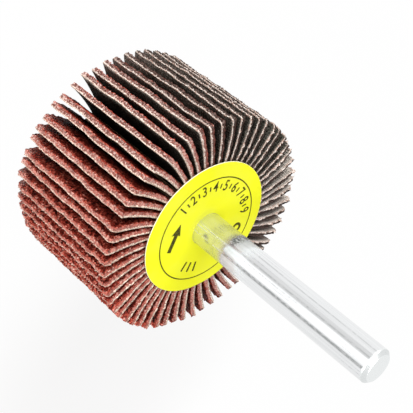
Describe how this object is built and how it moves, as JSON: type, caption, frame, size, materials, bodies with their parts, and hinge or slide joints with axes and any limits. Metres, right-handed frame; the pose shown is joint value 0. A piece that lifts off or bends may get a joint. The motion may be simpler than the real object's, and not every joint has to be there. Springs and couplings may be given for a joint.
{
  "type": "flap wheel",
  "caption": "Spindle-mounted abrasive flap wheel: radial coated cloth flaps set in a round resin core on a plain steel shank, with a yellow paper label.",
  "frame": {"origin": "centre of the wheel's back face, on the shank's axis", "axes": "+Z along the shank's axis, from the back face to the shank's free end; -Y is the side towards which the paper label is punched off centre"},
  "size_m": [0.0409, 0.0409, 0.0635],
  "materials": {
    "shank_steel": "bright ground steel, mirror-like across, with fine grinding streaks along its length",
    "core_resin": "cast dark brown epoxy resin, dull",
    "label_paper": "smooth bright yellow paper printed in dark olive",
    "abrasive_cloth": "coated abrasive cloth: coarse red-brown grit on one face, dark grey-brown woven backing on the other, pale frayed cut edges"
  },
  "bodies": {
    "root": {"shank": "shank_steel", "resin_core": "core_resin", "label_disc": "label_paper", "flap_01": "abrasive_cloth", "flap_02": "abrasive_cloth", "flap_03": "abrasive_cloth", "flap_04": "abrasive_cloth", "flap_05": "abrasive_cloth", "flap_06": "abrasive_cloth", "flap_07": "abrasive_cloth", "flap_08": "abrasive_cloth", "flap_09": "abrasive_cloth", "flap_10": "abrasive_cloth", "flap_11": "abrasive_cloth", "flap_12": "abrasive_cloth", "flap_13": "abrasive_cloth", "flap_14": "abrasive_cloth", "flap_15": "abrasive_cloth", "flap_16": "abrasive_cloth", "flap_17": "abrasive_cloth", "flap_18": "abrasive_cloth", "flap_19": "abrasive_cloth", "flap_20": "abrasive_cloth", "flap_21": "abrasive_cloth", "flap_22": "abrasive_cloth", "flap_23": "abrasive_cloth", "flap_24": "abrasive_cloth", "flap_25": "abrasive_cloth", "flap_26": "abrasive_cloth", "flap_27": "abrasive_cloth", "flap_28": "abrasive_cloth", "flap_29": "abrasive_cloth", "flap_30": "abrasive_cloth", "flap_31": "abrasive_cloth", "flap_32": "abrasive_cloth", "flap_33": "abrasive_cloth", "flap_34": "abrasive_cloth", "flap_35": "abrasive_cloth", "flap_36": "abrasive_cloth", "flap_37": "abrasive_cloth", "flap_38": "abrasive_cloth", "flap_39": "abrasive_cloth", "flap_40": "abrasive_cloth", "flap_41": "abrasive_cloth", "flap_42": "abrasive_cloth", "flap_43": "abrasive_cloth", "flap_44": "abrasive_cloth", "flap_45": "abrasive_cloth", "flap_46": "abrasive_cloth", "flap_47": "abrasive_cloth", "flap_48": "abrasive_cloth", "flap_49": "abrasive_cloth", "flap_50": "abrasive_cloth", "flap_51": "abrasive_cloth", "flap_52": "abrasive_cloth", "flap_53": "abrasive_cloth", "flap_54": "abrasive_cloth", "flap_55": "abrasive_cloth", "flap_56": "abrasive_cloth", "flap_57": "abrasive_cloth"}
  },
  "joints": []
}
